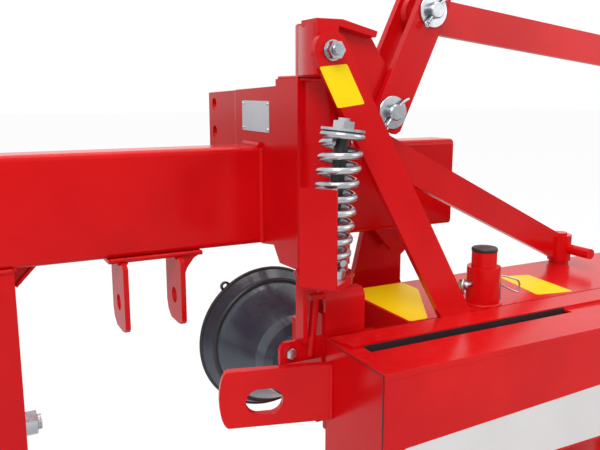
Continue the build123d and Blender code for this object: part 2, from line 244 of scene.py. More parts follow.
@dataclass(frozen=True)
class Finish:
    """A surface finish with patchy tone, fine bump and, on faces that look up, dust.

    The subclasses only change the values and what patterns() adds.
    """

    name: str
    colour: Colour
    deep: Colour
    metallic: float = 0.0
    roughness: float = 0.35
    rough_spread: float = 0.1
    coat: float = 0.0
    coat_roughness: float = 0.08
    coat_index: float = 1.5
    specular: float = 0.5
    patch_scale: float = 6.0
    grain_scale: float = 700.0
    grain_depth: float = 0.00004
    dust: float = 0.0
    dust_colour: Colour = (0.62, 0.56, 0.48, 1.0)

    def build(self) -> bpy.types.Material:
        """Makes the material.

        Returns:
            The finished material, named after the finish.
        """
        made = bpy.data.materials.new(self.name)
        made.use_nodes = True
        graph = Graph(made.node_tree)
        coords = graph.node("ShaderNodeTexCoord", out="Object")
        patches = graph.noise(coords, self.patch_scale, 4.0, 0.55).ramp(0.3, 0.7)
        clouds = graph.noise(coords, self.patch_scale * 7, 5.0, 0.6) - 0.5
        surface = Surface(graph, coords, graph.blend(patches, self.deep, self.colour),
                          self.roughness + clouds * (2 * self.rough_spread))
        self.patterns(surface)
        if self.dust:
            normal = graph.node("ShaderNodeNewGeometry", out="Normal")
            height = graph.node("ShaderNodeSeparateXYZ", None, {0: normal}, "Z")
            grit = graph.noise(coords, 90.0, 6.0, 0.7).ramp(0.35, 0.75)
            surface.stain(height.ramp(0.45, 0.95) * grit * self.dust, self.dust_colour, 0.3)
        grain = graph.noise(coords, self.grain_scale, 2.0, 0.5)
        bump = graph.node("ShaderNodeBump", None, {
            "Strength": 0.5, "Distance": self.grain_depth, "Height": grain}, "Normal")
        shaded = graph.node("ShaderNodeBsdfPrincipled", None, {
            "Base Color": surface.colour, "Metallic": self.metallic, "Roughness": surface.rough,
            "Normal": bump, "Coat Weight": self.coat, "Coat Roughness": self.coat_roughness,
            "Coat IOR": self.coat_index, "Specular IOR Level": self.specular})
        graph.node("ShaderNodeOutputMaterial", None, {"Surface": shaded})
        return made

    def patterns(self, surface: Surface) -> None:
        """Adds what is special to the finish; a plain one adds nothing."""


@dataclass(frozen=True)
class Zinc(Finish):
    """Zinc plating with a spangled, slightly blue and yellow tone."""

    bloom: Colour = (0.66, 0.62, 0.52, 1.0)

    def patterns(self, surface: Surface) -> None:
        """Adds the faint straw bloom and the clouded gloss of plating.

        Args:
            surface: the surface so far.
        """
        graph, coords = surface.graph, surface.coords
        surface.stain(graph.noise(coords, 55.0, 4.0, 0.6).ramp(0.52, 0.8) * 0.35, self.bloom)
        spangle = graph.node("ShaderNodeTexVoronoi", None, {"Vector": coords, "Scale": 420.0}, "Color")
        tone = graph.node("ShaderNodeSeparateColor", None, {0: spangle}, "Red")
        surface.rough = surface.rough + (tone - 0.5) * 0.04


@dataclass(frozen=True)
class Worn(Finish):
    """Bare steel, brushed across and browned in spots."""

    rust: Colour = (0.21, 0.11, 0.06, 1.0)
    brush: Point = (6.0, 90.0, 300.0)

    def patterns(self, surface: Surface) -> None:
        """Adds brush lines and a few brown spots.

        Args:
            surface: the surface so far.
        """
        lines = surface.graph.noise(surface.stretched(self.brush), 6.0, 4.0, 0.6)
        surface.rough = surface.rough + (lines - 0.5) * 0.2
        spots = surface.graph.noise(surface.coords, 38.0, 6.0, 0.7).ramp(0.6, 0.78) * 0.55
        surface.stain(spots, self.rust, 0.4)


@dataclass(frozen=True)
class Printed(Finish):
    """A blank film or plate with faint scuffs."""

    scuff: Colour = (0.45, 0.42, 0.36, 1.0)
    rub: Point = (40.0, 40.0, 400.0)

    def patterns(self, surface: Surface) -> None:
        """Adds fine scuffs, rougher than the film around them."""
        scuffs = surface.graph.noise(surface.stretched(self.rub), 3.0, 5.0, 0.65).ramp(0.62, 0.75) * 0.12
        surface.stain(scuffs, self.scuff, 1.0)


class Finishes:
    """All finishes of the machine, made once."""

    def __init__(self) -> None:
        """Builds each material."""
        self.red = Finish(
            "red_paint", solid(0.7, 0.005, 0.006), solid(0.56, 0.002, 0.005), roughness=0.33,
            rough_spread=0.05, coat=1.0, coat_roughness=0.2, coat_index=1.27, specular=0.0,
            patch_scale=4.0, grain_scale=420.0, grain_depth=0.00012, dust=0.02).build()
        self.zinc = Zinc(
            "zinc", solid(0.56, 0.58, 0.61), solid(0.36, 0.38, 0.41), metallic=1.0,
            roughness=0.24, rough_spread=0.05, patch_scale=30.0, grain_depth=0.00003).build()
        self.steel = Worn(
            "bare_steel", solid(0.58, 0.58, 0.58), solid(0.42, 0.42, 0.43), metallic=1.0,
            roughness=0.36, patch_scale=14.0).build()
        self.dish = Worn(
            "dish_steel", solid(0.36, 0.36, 0.37), solid(0.26, 0.26, 0.27), metallic=1.0,
            roughness=0.42, patch_scale=9.0).build()
        self.bell = Finish(
            "bell_plastic", solid(0.032, 0.044, 0.066), solid(0.022, 0.031, 0.048), roughness=0.26,
            coat=0.3, coat_roughness=0.12, grain_scale=260.0, grain_depth=0.0002, dust=0.05).build()
        self.black = Finish(
            "black_plastic", solid(0.022, 0.022, 0.024), solid(0.014, 0.014, 0.016),
            roughness=0.42, grain_scale=900.0, grain_depth=0.00008, dust=0.06).build()
        self.yellow = Printed(
            "yellow_film", solid(1.0, 0.74, 0.0), solid(0.98, 0.68, 0.0), roughness=0.4,
            specular=0.2, scuff=solid(0.75, 0.55, 0.02)).build()
        self.white = Printed(
            "white_film", solid(0.72, 0.71, 0.71), solid(0.66, 0.65, 0.65), roughness=0.35,
            coat=0.3).build()
        self.silver = Printed(
            "silver_plate", solid(0.63, 0.66, 0.7), solid(0.55, 0.58, 0.62), metallic=0.7,
            roughness=0.36).build()

    def for_slot(self, slot: Slot) -> bpy.types.Material:
        """The usual finish of a slot."""
        return {Slot.PAINT: self.red, Slot.ZINC: self.zinc, Slot.STEEL: self.steel,
                Slot.DISH: self.dish, Slot.PLASTIC: self.bell}[slot]


# making pieces


def linked(name: str, data: bpy.types.ID) -> bpy.types.Object:
    """Puts a mesh, curve, camera or lamp into the scene as an object at the origin.

    Args:
        name: the object's name.
        data: its mesh, curve, camera or lamp.

    Returns:
        The new object.
    """
    made = bpy.data.objects.new(name, data)
    bpy.context.scene.collection.objects.link(made)
    return made


def evaluated_mesh(name: str, carrier: bpy.types.Object) -> bpy.types.Mesh:
    """A plain, smooth-shaded mesh of what an object evaluates to.

    Args:
        name: the mesh's name.
        carrier: the object with its modifiers or curve.

    Returns:
        The new mesh.
    """
    bpy.context.view_layer.update()
    depsgraph = bpy.context.evaluated_depsgraph_get()
    mesh = bpy.data.meshes.new_from_object(carrier.evaluated_get(depsgraph))
    mesh.name = name
    mesh.shade_smooth()
    return mesh


@dataclass
class Workshop:
    """Takes finished meshes into the scene and gives them a body and a finish, the slot's usual one unless
    another is given.
    """

    finishes: Finishes
    count: int = 0

    def install(self, made: bpy.types.Object, body: Body, slot: Slot,
                finish: bpy.types.Material | None = None, replaces: Sequence[str] = ()) -> None:
        """Finishes one piece.

        Args:
            made: the object, with its place in its mesh.
            body: what it rides on.
            slot: the record's material slot.
            finish: its finish, if not the slot's usual one.
            replaces: CAD nodes that it stands for.
        """
        made.data.materials.clear()
        made.data.materials.append(finish or self.finishes.for_slot(slot))
        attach(made, body.value)
        if replaces:
            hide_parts(*replaces)
        self.count += 1
        LOG.info("%s: %d faces on %s", made.name, len(made.data.polygons), body.value)

    def from_bmesh(self, name: str, work: bmesh.types.BMesh, smooth: float = 35.0,
                   ease: float = 0.0) -> bpy.types.Object:
        """Turns a bmesh into an object with smooth faces split at sharp edges.

        Args:
            name: the piece's name.
            work: the bmesh, freed here.
            smooth: angle in degrees past which an edge is sharp.
            ease: rounding of the sharp edges in mm.

        Returns:
            The new object.
        """
        bmesh.ops.recalc_face_normals(work, faces=work.faces)
        for face in work.faces:
            face.smooth = True
        for edge in work.edges:
            edge.smooth = len(edge.link_faces) == 2 and edge.calc_face_angle(0.0) < math.radians(smooth)
        if ease:
            sharp = [edge for edge in work.edges if not edge.smooth]
            bmesh.ops.bevel(work, geom=sharp, offset=ease * MM, segments=2, affect="EDGES", profile=0.5)
        mesh = bpy.data.meshes.new(name)
        work.to_mesh(mesh)
        work.free()
        return linked(name, mesh)

    def add(self, name: str, work: bmesh.types.BMesh, body: Body, slot: Slot,
            finish: bpy.types.Material | None = None, replaces: Sequence[str] = (),
            smooth: float = 35.0, ease: float = 0.0) -> None:
        """Turns a bmesh into a finished piece.

        Args:
            name: the piece's name.
            work: the bmesh, freed here.
            body: what it rides on.
            slot: the record's material slot.
            finish: its finish, if not the slot's usual one.
            replaces: CAD nodes that it stands for.
            smooth: angle in degrees past which an edge is sharp.
            ease: rounding of its sharp edges in mm.
        """
        self.install(self.from_bmesh(name, work, smooth, ease), body, slot, finish, replaces)


class GrownShape:
    """A shape made by a Geometry Nodes tree and kept as a plain mesh."""

    def __init__(self, name: str) -> None:
        """Starts a tree with a geometry input and output.

        Args:
            name: the shape's name.
        """
        self.name = name
        self.tree = bpy.data.node_groups.new(name + "_tree", "GeometryNodeTree")
        self.graph = Graph(self.tree)
        self.values: dict[str, float] = {}
        for way in ("INPUT", "OUTPUT"):
            self.tree.interface.new_socket("Geometry", in_out=way, socket_type="NodeSocketGeometry")

    def size(self, name: str, value: float) -> Signal:
        """Adds a named input.

        Args:
            name: the input's name.
            value: what this shape gets.

        Returns:
            The input, for use in the tree.
        """
        socket = self.tree.interface.new_socket(name, in_out="INPUT", socket_type="NodeSocketFloat")
        self.values[socket.identifier] = value
        return self.graph.node("NodeGroupInput", out=name)

    def base(self) -> Signal:
        """The geometry that comes in."""
        return self.graph.node("NodeGroupInput", out="Geometry")

    def circle(self, radius: Signal | float, steps: int) -> Signal:
        """A circle of so many flats, as a curve."""
        return self.graph.node("GeometryNodeCurvePrimitiveCircle", None, {
            "Resolution": steps, "Radius": radius}, "Curve")

    def tube(self, path: Signal, section: Signal) -> Signal:
        """The section run along a path, with its ends closed."""
        return self.graph.node("GeometryNodeCurveToMesh", None, {
            "Curve": path, "Profile Curve": section, "Fill Caps": True})

    def finish(self, result: Signal, material: bpy.types.Material,
               seed_mesh: bpy.types.Mesh | None = None, smooth: float = 35.0) -> bpy.types.Object:
        """Ends the tree, runs it and keeps the result.

        Args:
            result: the tree's last geometry.
            material: what Set Material gives it.
            seed_mesh: points or edges that the tree works on.
            smooth: angle past which an edge is sharp.

        Returns:
            An object with the finished plain mesh.
        """
        real = self.graph.node("GeometryNodeRealizeInstances", None, {"Geometry": result})
        dressed = self.graph.node("GeometryNodeSetMaterial", None, {"Geometry": real, "Material": material})
        self.graph.node("NodeGroupOutput", None, {"Geometry": dressed})
        carrier = linked(self.name, seed_mesh or bpy.data.meshes.new(self.name + "_seed"))
        modifier = carrier.modifiers.new("grow", "NODES")
        modifier.node_group = self.tree
        for identifier, value in self.values.items():
            modifier[identifier] = value
        mesh = evaluated_mesh(self.name, carrier)
        mesh.set_sharp_from_angle(angle=math.radians(smooth))
        carrier.modifiers.clear()
        carrier.data = mesh
        return carrier


def points_mesh(name: str, places: Sequence[Vector], edges: Sequence[tuple[int, int]] = (),
                **attributes: Sequence[Any]) -> bpy.types.Mesh:
    """Makes a mesh of bare points with named values on them.

    Args:
        name: the mesh's name.
        places: the points.
        edges: pairs of points that are joined.
        attributes: a number or a vector for each point, by name.

    Returns:
        The mesh.
    """
    mesh = bpy.data.meshes.new(name)
    mesh.from_pydata([tuple(place) for place in places], list(edges), [])
    for key, values in attributes.items():
        vector = hasattr(values[0], "__len__")
        layer = mesh.attributes.new(key, "FLOAT_VECTOR" if vector else "FLOAT", "POINT")
        for item, value in zip(layer.data, values):
            setattr(item, "vector" if vector else "value", value)
    return mesh


# shapes that several sub-assemblies share


def around(count: int, reach: float, across: float | None = None, start: float = 0.0) -> list[Pair]:
    """Points evenly spaced on a circle or an ellipse about the origin.

    Args:
        count: how many points.
        reach: radius along the first axis.
        across: radius along the second axis, if it differs.
        start: angle of the first point in radians.

    Returns:
        The points as pairs.
    """
    second = reach if across is None else across
    angles = [start + math.tau * k / count for k in range(count)]
    return [(reach * math.cos(angle), second * math.sin(angle)) for angle in angles]


def turned(work: bmesh.types.BMesh, profile: Sequence[Pair], foot: Vector, axis: Vector,
           steps: int = 32) -> None:
    """Turns an outline about an axis.

    Args:
        work: the bmesh that gets the faces.
        profile: (radius, height) pairs in mm; a radius of 0 is a pole, and an outline without
            poles is closed from its last pair to its first.
        foot: where height 0 lies.
        axis: which way height grows.
        steps: flats around.
    """
    place = Matrix.Translation(foot) @ UP.rotation_difference(axis).to_matrix().to_4x4()
    rings = []
    for radius, height in profile:
        flat = around(steps, radius) if radius > 0 else [(0.0, 0.0)]
        rings.append([work.verts.new(place @ (Vector((x, y, height)) * MM)) for x, y in flat])
    pairs = list(zip(rings, rings[1:]))
    if profile[0][0] > 0 and profile[-1][0] > 0:
        pairs.append((rings[-1], rings[0]))
    for low, high in pairs:
        for k in range(steps):
            face = (low[k % len(low)], low[(k + 1) % len(low)],
                    high[(k + 1) % len(high)], high[k % len(high)])
            work.faces.new(list(dict.fromkeys(face)))


def rod_profile(radius: float, length: float, chamfer: float = 1.0) -> list[Pair]:
    """Outline of a solid rod with chamfered ends, in mm."""
    return [(0, 0), (radius - chamfer, 0), (radius, chamfer), (radius, length - chamfer),
            (radius - chamfer, length), (0, length)]


def thread_profile(radius: float, length: float, pitch: float) -> list[Pair]:
    """Outline of a threaded sleeve over a plain rod.

    Args:
        radius: the rod's radius in mm.
        length: the sleeve's length in mm.
        pitch: the thread's pitch in mm.

    Returns:
        (radius, height) pairs.
    """
    depth, proud = 0.55 * pitch, 0.15
    root, crest = radius - depth * 0.8, radius + proud
    outline = [(radius - depth, 0.0)]
    for turn in range(int(length / pitch)):
        outline += [(root, turn * pitch), (crest, (turn + 0.4) * pitch), (crest, (turn + 0.6) * pitch)]
    return outline + [(root, length), (radius - depth, length)]


def rounded(outline: Sequence[Vector], radius: float, steps: int = 6) -> list[Vector]:
    """Rounds the corners of a flat outline.

    Args:
        outline: the outline's corners in order.
        radius: corner radius in metres.
        steps: points around one corner.

    Returns:
        The outline's points.
    """
    points = []
    for place, corner in enumerate(outline):
        before = (outline[place - 1] - corner).normalized() * radius
        after = (outline[(place + 1) % len(outline)] - corner).normalized() * radius
        for share in (step / steps for step in range(steps + 1)):
            points.append(corner + before * (1 - share) ** 2 + after * share ** 2)
    return points


def slab(work: bmesh.types.BMesh, outline: Sequence[Vector], depth: Vector) -> None:
    """Gives a flat outline a thickness.

    Args:
        work: the bmesh that gets the faces.
        outline: points in order.
        depth: from the outline to its far side.
    """
    near = [work.verts.new(point) for point in outline]
    far = [work.verts.new(point + depth) for point in outline]
    work.faces.new(near[::-1])
    work.faces.new(far)
    for k in range(len(near)):
        following = (k + 1) % len(near)
        work.faces.new([near[k], near[following], far[following], far[k]])


def block(work: bmesh.types.BMesh, x: Pair, y: Pair, z: float, rise: float) -> None:
    """Adds a box between its ends along X and Y, from a level by a rise up or down, all in mm."""
    plan = [at(x[0], y[0], z), at(x[1], y[0], z), at(x[1], y[1], z), at(x[0], y[1], z)]
    slab(work, plan, UP * rise * MM)


def wire(name: str, points: Sequence[Vector], radius: float, closed: bool = False) -> bpy.types.Object:
    """Bends a round wire through points.

    Args:
        name: the piece's name.
        points: where it passes, in metres.
        radius: the wire's radius in mm.
        closed: whether its ends meet.

    Returns:
        The wire as a mesh object.
    """
    curve = bpy.data.curves.new(name + "_line", "CURVE")
    curve.dimensions = "3D"
    curve.bevel_depth = radius * MM
    curve.bevel_resolution = 3
    curve.use_fill_caps = True
    curve.resolution_u = 8
    spline = curve.splines.new("NURBS")
    spline.points.add(len(points) - 1)
    for knot, point in zip(spline.points, points):
        knot.co = (*point, 1.0)
    spline.order_u = 3
    spline.use_endpoint_u = not closed
    spline.use_cyclic_u = closed
    carrier = linked(name + "_line", curve)
    mesh = evaluated_mesh(name, carrier)
    bpy.data.objects.remove(carrier)
    return linked(name, mesh)


# hexagon heads and nuts


@dataclass(frozen=True)
class Hex:
    """One head or nut: the middle of its seat, which way it faces, and its size, in mm."""

    place: Point
    facing: Vector
    across: float
    thick: float


@dataclass
class HexHeads:
    """Hexagon heads with rounded-off corners, grown on their seats."""

    shop: Workshop
    flats: int = 6
    steps: int = 36
    crown: float = 0.47
    drop: float = 0.8

    def unit(self) -> bpy.types.Object:
        """Makes one head that is 1 across the flats and 1 thick.

        Returns:
            The head, which grow() copies and then removes.
        """
        work = bmesh.new()
        foot, shoulder, crown = [], [], []
        for k in range(self.steps):
            angle = math.tau * k / self.steps
            off_flat = (angle + math.pi / self.flats) % (math.tau / self.flats) - math.pi / self.flats
            radius = 0.5 / math.cos(off_flat)
            ray = Vector((math.cos(angle), math.sin(angle), 0))
            foot.append(work.verts.new(ray * radius))
            shoulder.append(work.verts.new(ray * radius + UP * (1 - self.drop * (radius - self.crown))))
            crown.append(work.verts.new(ray * self.crown + UP))
        work.faces.new(foot[::-1])
        work.faces.new(crown)
        for low, high in ((foot, shoulder), (shoulder, crown)):
            for k in range(self.steps):
                following = (k + 1) % self.steps
                work.faces.new([low[k], low[following], high[following], high[k]])
        return self.shop.from_bmesh("hex_unit", work, 25.0)

    def grow(self, name: str, heads: Sequence[Hex], body: Body) -> None:
        """Sets a row of zinc-plated heads on one body.

        Args:
            name: the piece's name.
            heads: the heads.
            body: what they ride on.
        """
        unit = self.unit()
        shape = GrownShape(name)
        graph = shape.graph
        facing, across, thick = (
            graph.node("GeometryNodeInputNamedAttribute", {"data_type": kind}, {"Name": key})
            for key, kind in (("facing", "FLOAT_VECTOR"), ("across", "FLOAT"), ("thick", "FLOAT")))
        turn = graph.node("FunctionNodeAlignRotationToVector", {"axis": "Z"}, {"Vector": facing})
        grown = across * shape.size("Scale", 1.0)
        scale = graph.node("ShaderNodeCombineXYZ", None, {0: grown, 1: grown, 2: thick})
        head = graph.node("GeometryNodeObjectInfo", None, {"Object": unit}, "Geometry")
        rows = graph.node("GeometryNodeInstanceOnPoints", None, {
            "Points": shape.base(), "Instance": head, "Rotation": turn, "Scale": scale})
        seats = points_mesh(
            name + "_seats", [at(*head.place) for head in heads], facing=[head.facing for head in heads],
            across=[head.across * MM for head in heads], thick=[head.thick * MM for head in heads])
        made = shape.finish(rows, self.shop.finishes.zinc, seats, 25.0)
        bpy.data.objects.remove(unit)
        self.shop.install(made, body, Slot.ZINC)


# weld beads


def hoop(x: float, y: float, z: float, radius: float, steps: int) -> list[Point]:
    """Points in mm of a level ring that ends where it starts."""
    ring = [(x + dx, y + dy, z) for dx, dy in around(steps, radius)]
    return ring + ring[:1]


@dataclass
class Welds:
    """Painted fillet welds along the joints of the plates."""

    shop: Workshop
    step: float = 2.2 * MM
    lump: float = 1.3 * MM
    lump_scale: float = 260.0

    def build(self) -> None:
        """Lays the beads of the headstock and of the cutting unit."""
        self.lay("headstock_welds", Body.HEAD, 4.6, [
            [(-41.5, 108.5, 3), (-41.5, 108.5, 138)],
            [(-41.5, 112, 141), (-41.5, 168, 141)],
            [(41.5, 108.5, 3), (41.5, 108.5, 138)],
        ])
        self.lay("headstock_fine_welds", Body.HEAD, 2.8, [
            [(-434, 109, -1), (-378, 109, -1)],
            [(-375, 112, -1), (-375, 168, -1)],
            [(-350, 129, -1), (-374, 129, -26)],
            [(-260, 103.5, -1), (-136, 103.5, -1)],
            [(-248, 106, -6), (-248, 158, -6)],
            [(-239, 106, -6), (-239, 158, -6)],
            [(-171, 106, -6), (-171, 158, -6)],
            [(-162, 116, -6), (-162, 158, -6)],
            [(168, 157, -1), (298, 157, -1)],
            [(-36, 2, 233), (-36, 60, 233)],
            [(36, 2, 233), (36, 60, 233)],
            hoop(0, 0, 230.5, 34.5, 32),
        ])
        self.lay("unit_welds", Body.UNIT, 2.8, [
            hoop(*SOCKET, DECK_TOP + 1, 25.3, 24),
            [(146, -73, DECK_TOP + 1), (196, -73, DECK_TOP + 1)],
            [(-46, -49, 242), (-18, -49, 242)],
            [(890, -11, -83), (890, 71, -83)],
            [(912, 13, -81), (1058, 13, -81)],
            [(912, 47, -81), (1058, 47, -81)],
            [(-33.5, -80, -119), (-33.5, -80, -190)],
        ])
        self.lay("collar_weld", Body.UNIT, 2.2, [hoop(0, 0, -24, 39, 32)])

    def lay(self, name: str, body: Body, radius: float, paths: Sequence[Sequence[Point]]) -> None:
        """Lays beads of one size on one body.

        Args:
            name: the piece's name.
            body: what they ride on.
            radius: the bead's radius in mm.
            paths: points of each bead in mm.
        """
        places, edges = [], []
        for path in paths:
            first = len(places)
            places += [at(*point) for point in path]
            edges += [(first + k, first + k + 1) for k in range(len(path) - 1)]
        shape = GrownShape(name)
        graph = shape.graph
        line = graph.node("GeometryNodeMeshToCurve", None, {"Mesh": shape.base()})
        even = graph.node("GeometryNodeResampleCurve", {"mode": "LENGTH"}, {
            "Curve": line, "Length": shape.size("Step", self.step)})
        bead = shape.tube(even, shape.circle(shape.size("Bead radius", radius * MM), 12))
        where = graph.node("GeometryNodeInputPosition")
        wave = graph.noise(where, self.lump_scale, 2.0, 0.5) - 0.5
        outward = graph.node("GeometryNodeInputNormal")
        push = graph.node("ShaderNodeVectorMath", {"operation": "SCALE"}, {
            0: outward, "Scale": wave * shape.size("Lump", self.lump)})
        lumpy = graph.node("GeometryNodeSetPosition", None, {"Geometry": bead, "Offset": push})
        lines = points_mesh(name + "_lines", places, edges)
        made = shape.finish(lumpy, self.shop.finishes.red, lines, 60.0)
        self.shop.install(made, body, Slot.PAINT)


# relief spring


@dataclass
class ReliefSpring:
    """Coil of the relief spring, wound between its two seats.

    seat_lift and end_loss count in thicknesses of the wire: from a seat to the wire's middle, and
    from the seats' distance to the height of the free turns.
    """

    shop: Workshop
    foot: Vector = field(default_factory=lambda: at(-51, -98, 12))
    head: Vector = field(default_factory=lambda: at(-31.5, -98, 171))
    outer_radius: float = 26.5 * MM
    wire: float = 9.2 * MM
    turns: float = 8.6
    seat_lift: float = 0.53
    end_loss: float = 1.9
    sleeve_bore: float = 7.1
    sleeve_radius: float = 8.0

    def build(self) -> None:
        """Winds the coil, which replaces its plain CAD tube, and puts the rod's sleeve inside."""
        shape = GrownShape("relief_spring_coil")
        graph = shape.graph
        axis = self.head - self.foot
        lift = axis.normalized() * self.wire * self.seat_lift
        turn = UP.rotation_difference(axis).to_euler()
        radius = self.outer_radius - self.wire / 2
        spiral = graph.node("GeometryNodeCurveSpiral", None, {
            "Resolution": 28, "Rotations": shape.size("Turns", self.turns),
            "Start Radius": shape.size("Coil radius", radius), "End Radius": radius,
            "Height": shape.size("Height", axis.length - self.wire * self.end_loss), "Reverse": True})
        placed = graph.node("GeometryNodeTransform", None, {
            "Geometry": spiral, "Translation": self.foot + lift, "Rotation": turn})
        closed_end = graph.node("GeometryNodeTransform", None, {
            "Geometry": shape.circle(radius, 56), "Translation": self.head - lift, "Rotation": turn})
        paths = graph.node("GeometryNodeJoinGeometry", None, {"Geometry": [placed, closed_end]})
        coil = shape.tube(paths, shape.circle(shape.size("Wire radius", self.wire / 2), 14))
        made = shape.finish(coil, self.shop.finishes.zinc, smooth=60.0)
        self._sleeve(axis)
        self.shop.install(made, Body.UNIT, Slot.ZINC, replaces=["relief_spring"])

    def _sleeve(self, axis: Vector) -> None:
        """The dark tube over the rod inside the coil.

        Args:
            axis: from the lower seat to the upper one.
        """
        work = bmesh.new()
        bottom, top = 1, axis.length / MM - 1
        wall = [(self.sleeve_bore, bottom), (self.sleeve_radius, bottom),
                (self.sleeve_radius, top), (self.sleeve_bore, top)]
        turned(work, wall, self.foot, axis)
        self.shop.add("rod_sleeve", work, Body.UNIT, Slot.PLASTIC, self.shop.finishes.black)


# plates and films


@dataclass
class Plates:
    """Blank films, a blank rating plate and its rivets."""

    shop: Workshop
    film: float = 0.35
    plate: float = 0.8
    stay_face: float = -72.0
    leg_face: float = -40.0

    def stick(self, name: str, outline: Sequence[Point], depth: Point, finish: bpy.types.Material,
              corner: float = 6.0, body: Body = Body.UNIT, slot: Slot = Slot.PAINT) -> None:
        """Sticks one blank film on a face.

        Args:
            name: the piece's name.
            outline: its corners in order, on the face.
            depth: its thickness and direction in mm.
            finish: its finish.
            corner: corner radius in mm.
            body: what it rides on.
            slot: the record's material slot.
        """
        work = bmesh.new()
        slab(work, rounded([at(*point) for point in outline], corner * MM), Vector(depth) * MM)
        self.shop.add(name, work, body, slot, finish)

    def build(self) -> None:
        """Sticks all the films and the plate."""
        finishes = self.shop.finishes
        outward, upward = (0, -self.film, 0), (0, 0, self.film)
        stay = ((-48.6, 243.5), (-11.7, 247.6), (13.9, 201.2), (-23.6, 196.3))
        near = ((103, 63), (102, -57), (131, -58), (207, 66), (208, 109), (129, 109))
        far = ((373, 64), (426, 51), (414, -55), (350, -43))
        panel = ((-5, -185), (316, -170.5), (560, -160), (560, -246), (-5, -246))
        rating = ((84, 160), (84, 203), (178, 203), (178, 160))
        self.stick("stay_film", [(x, self.stay_face, z) for x, z in stay], outward, finishes.yellow, 3.0)
        self.stick("deck_film_near", [(x, y, DECK_TOP) for x, y in near], upward, finishes.yellow)
        self.stick("deck_film_far", [(x, y, DECK_TOP) for x, y in far], upward, finishes.yellow)
        self.stick("box_panel", [(x, BOX_NEAR, z) for x, z in panel], outward, finishes.white)
        self.stick("rating_plate", [(self.leg_face, y, z) for y, z in rating], (-self.plate, 0, 0),
                   finishes.silver, 2.5, Body.HEAD, Slot.ZINC)
        rivets = bmesh.new()
        dome = [(0, 0), (2.2, 0), (2.0, 0.9), (1.2, 1.5), (0, 1.7)]
        for y, z in ((88, 164), (88, 199), (174, 164), (174, 199)):
            turned(rivets, dome, at(self.leg_face - self.plate, y, z), -ALONG_X, 16)
        self.shop.add("rating_plate_rivets", rivets, Body.HEAD, Slot.ZINC, smooth=50.0)


# bars and pins of the swing head


@dataclass
class HeadLinkage:
    """The lever bars with their long lower ends, their pins, and the head's smooth sides."""

    shop: Workshop
    half_width: float = 22.5
    thickness: float = 10.0
    crown_reach: float = 14.0
    foot_reach: float = 22.0
    toe_cut: float = 6.0
    arc_steps: int = 16
    bars: tuple[tuple[str, float], ...] = (("lever_rear", -60.0), ("lever_front", -12.0))
    pin_radius: float = 10.0
    pin_length: float = 82.0
    pin_end: float = -72.0
    filler_foot: float = 235.4
    filler_height: float = 59.4
    collar_foot: float = 233.5
    web_face: float = -47.8
    web_thickness: float = 7.6

    def build(self) -> None:
        """Makes the bars, the pins and the fillers."""
        self._bars()
        self._pins()
        self._head_sides()

    def _bars(self) -> None:
        """Two flat bars, rounded at the top and cut square with eased corners at the foot."""
        low, high = (Vector((x, 0, z)) for x, z in LEVER_PINS.values())
        along = (high - low).normalized()
        side = Vector((along.z, 0, -along.x)) * self.half_width
        foot, crown = low - along * self.foot_reach, high + along * self.crown_reach
        cut = along * self.toe_cut
        angles = [math.pi * k / self.arc_steps for k in range(self.arc_steps + 1)]
        arc = [crown + side * math.cos(a) + along * self.half_width * math.sin(a) for a in angles]
        toe = [foot - side + cut, foot - side * 0.8, foot + side * 0.8, foot + side + cut]
        for node, y in self.bars:
            work = bmesh.new()
            slab(work, [at(point.x, y, point.z) for point in arc + toe], ALONG_Y * self.thickness * MM)
            self.shop.add(node + "_bar", work, Body.UNIT, Slot.PAINT, replaces=[node], ease=0.6)

    def _pins(self) -> None:
        """Two pins with chamfered ends and broad washers."""
        bore, chamfer = self.pin_radius + 0.2, 0.5
        rod = rod_profile(self.pin_radius, self.pin_length, 1.4)
        for name, (x, z) in LEVER_PINS.items():
            work = bmesh.new()
            turned(work, rod, at(x, self.pin_end, z), ALONG_Y, 48)
            for y, thick, radius in ((-63.0, 2.9, 20.5), (-2.0, 8.0, 15.0)):
                rim = rod_profile(radius, thick, chamfer)[1:-1]
                turned(work, [(bore, 0), *rim, (bore, thick)], at(x, y, z), ALONG_Y, 48)
            self.shop.add(f"lever_pin_{name}_turned", work, Body.UNIT, Slot.ZINC,
                          replaces=[f"lever_pin_{name}"])

    def _head_sides(self) -> None:
        """The filler between collar and front block, and the web under the cheek."""
        fillers = bmesh.new()
        plan = [(-17.4, -62.3), (-44, -62.3), (-46.2, -61.6), (-47.4, -59.5), (-47.6, -54), (-47.6, -44),
                (-47.2, -36), (-46, -28), (-44.2, -20), (-42.2, -12), (-40.2, -5), (-38.4, 2), (-30, 14)]
        slab(fillers, [at(x, y, self.filler_foot) for x, y in plan], UP * self.filler_height * MM)
        collar = [(30, 0), (38.3, 0), (38.3, 63.2), (37.5, 64.2), (30, 64.2)]
        turned(fillers, collar, at(0, 0, self.collar_foot), UP, 64)
        self.shop.add("head_side_filler", fillers, Body.UNIT, Slot.PAINT, smooth=40.0)
        web = bmesh.new()
        profile = ((5, 243.5), (37, 242.5), (45.5, 177.5), (34, 180), (20, 212))
        slab(web, [at(x, self.web_face, z) for x, z in profile], ALONG_Y * self.web_thickness * MM)
        self.shop.add("cheek_web", web, Body.UNIT, Slot.PAINT)


# the eye plate and the rear box's folds


